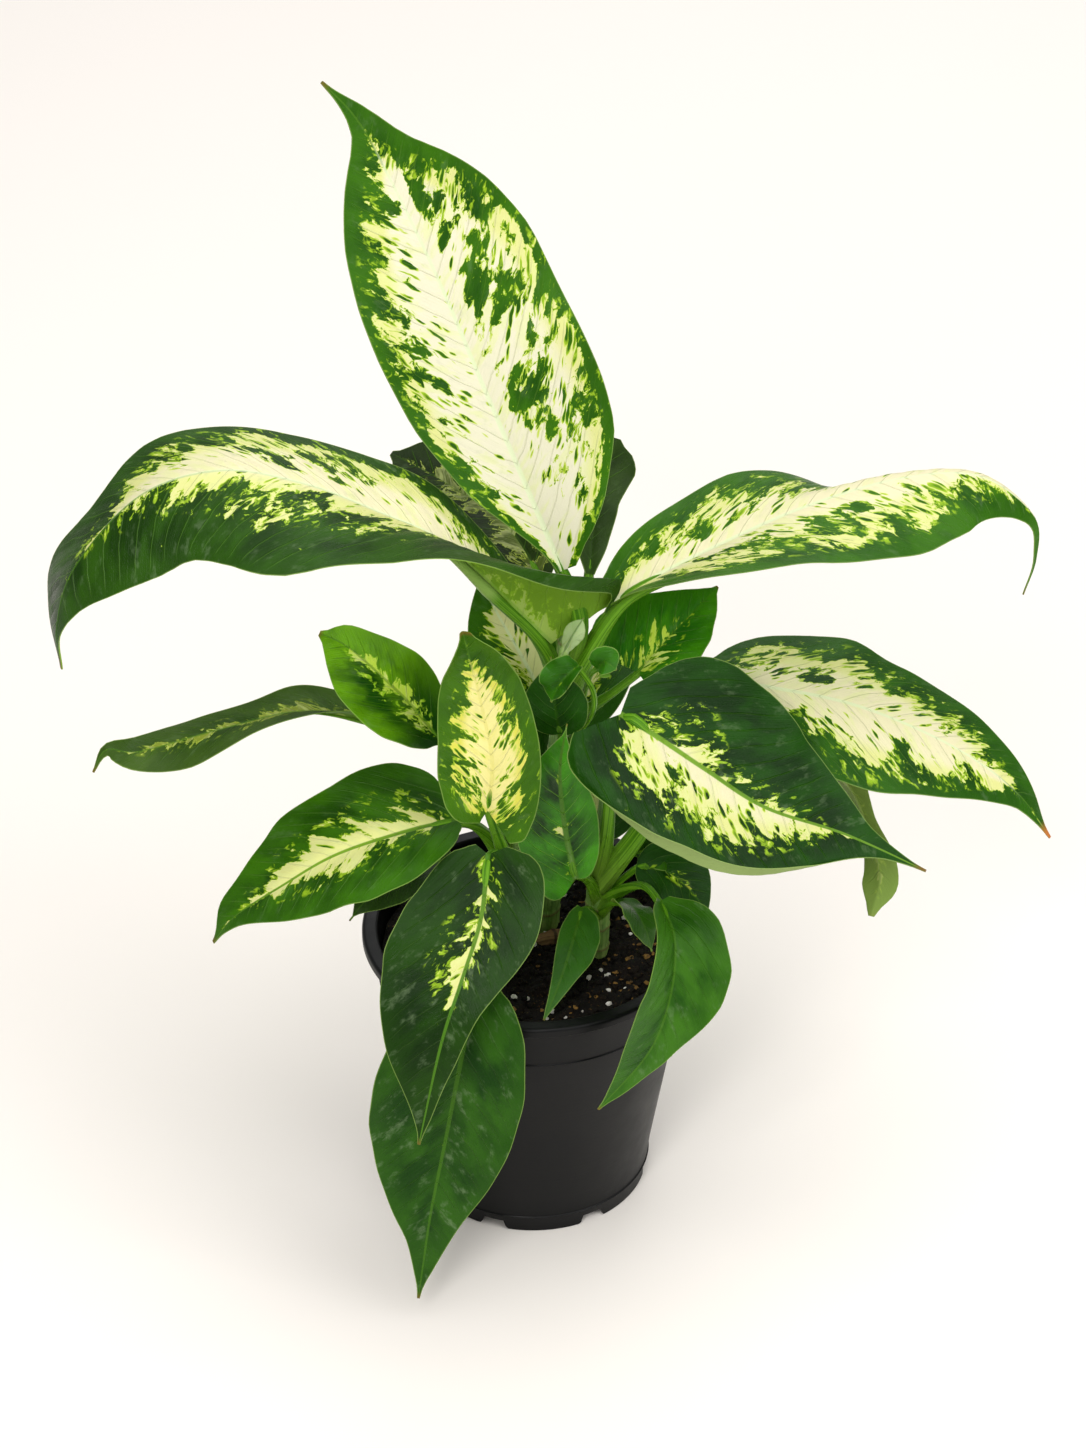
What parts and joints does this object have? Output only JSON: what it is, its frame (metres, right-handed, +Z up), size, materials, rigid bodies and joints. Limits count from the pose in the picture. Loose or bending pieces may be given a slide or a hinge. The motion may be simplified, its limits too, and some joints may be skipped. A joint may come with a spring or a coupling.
{
  "type": "potted dieffenbachia",
  "caption": "Leafy house plant with cream-blotched green leaves on arching stalks, in a round plastic nursery pot of soil.",
  "frame": {"origin": "centre of the pot's flat underside, on the surface that the pot stands on", "axes": "+Z up, +X to the right and +Y to the back of the plant as it is seen from its front"},
  "size_m": [0.431, 0.2491, 0.5396],
  "materials": {
    "pot": "satin",
    "soil": "matte",
    "dry_stub": "matte",
    "cane": "satin",
    "leaf_cream": "satin",
    "leaf_green": "satin",
    "leaf_lime": "satin"
  },
  "bodies": {
    "root": {"pot": "pot", "dry_stub": "dry_stub", "soil": "soil", "cane_main": "cane", "cane_left": "cane", "cane_right": "cane", "leaf_top": "leaf_cream", "leaf_left": "leaf_cream", "leaf_right": "leaf_cream", "leaf_right_mid": "leaf_cream", "leaf_front_right": "leaf_green", "leaf_right_under": "leaf_lime", "leaf_back_small": "leaf_green", "leaf_back_left": "leaf_green", "leaf_back_right": "leaf_green", "leaf_back_centre": "leaf_cream", "leaf_front_centre": "leaf_cream", "leaf_lime": "leaf_lime", "leaf_narrow_left": "leaf_green", "leaf_lower_left": "leaf_cream", "leaf_droop_left": "leaf_green", "leaf_lowest": "leaf_green", "leaf_droop_right": "leaf_green", "leaf_small_front": "leaf_green", "leaf_centre_low": "leaf_green", "leaf_small_dark": "leaf_green", "leaf_speckled_a": "leaf_green", "leaf_speckled_b": "leaf_green", "leaf_low_dark": "leaf_green", "leaf_folded": "leaf_lime", "leaf_curled_left": "leaf_lime", "leaf_curled_right": "leaf_lime", "new_leaf": "leaf_lime", "leaf_rear_left": "leaf_green", "leaf_rear_right": "leaf_green", "leaf_rear": "leaf_green"}
  },
  "joints": []
}
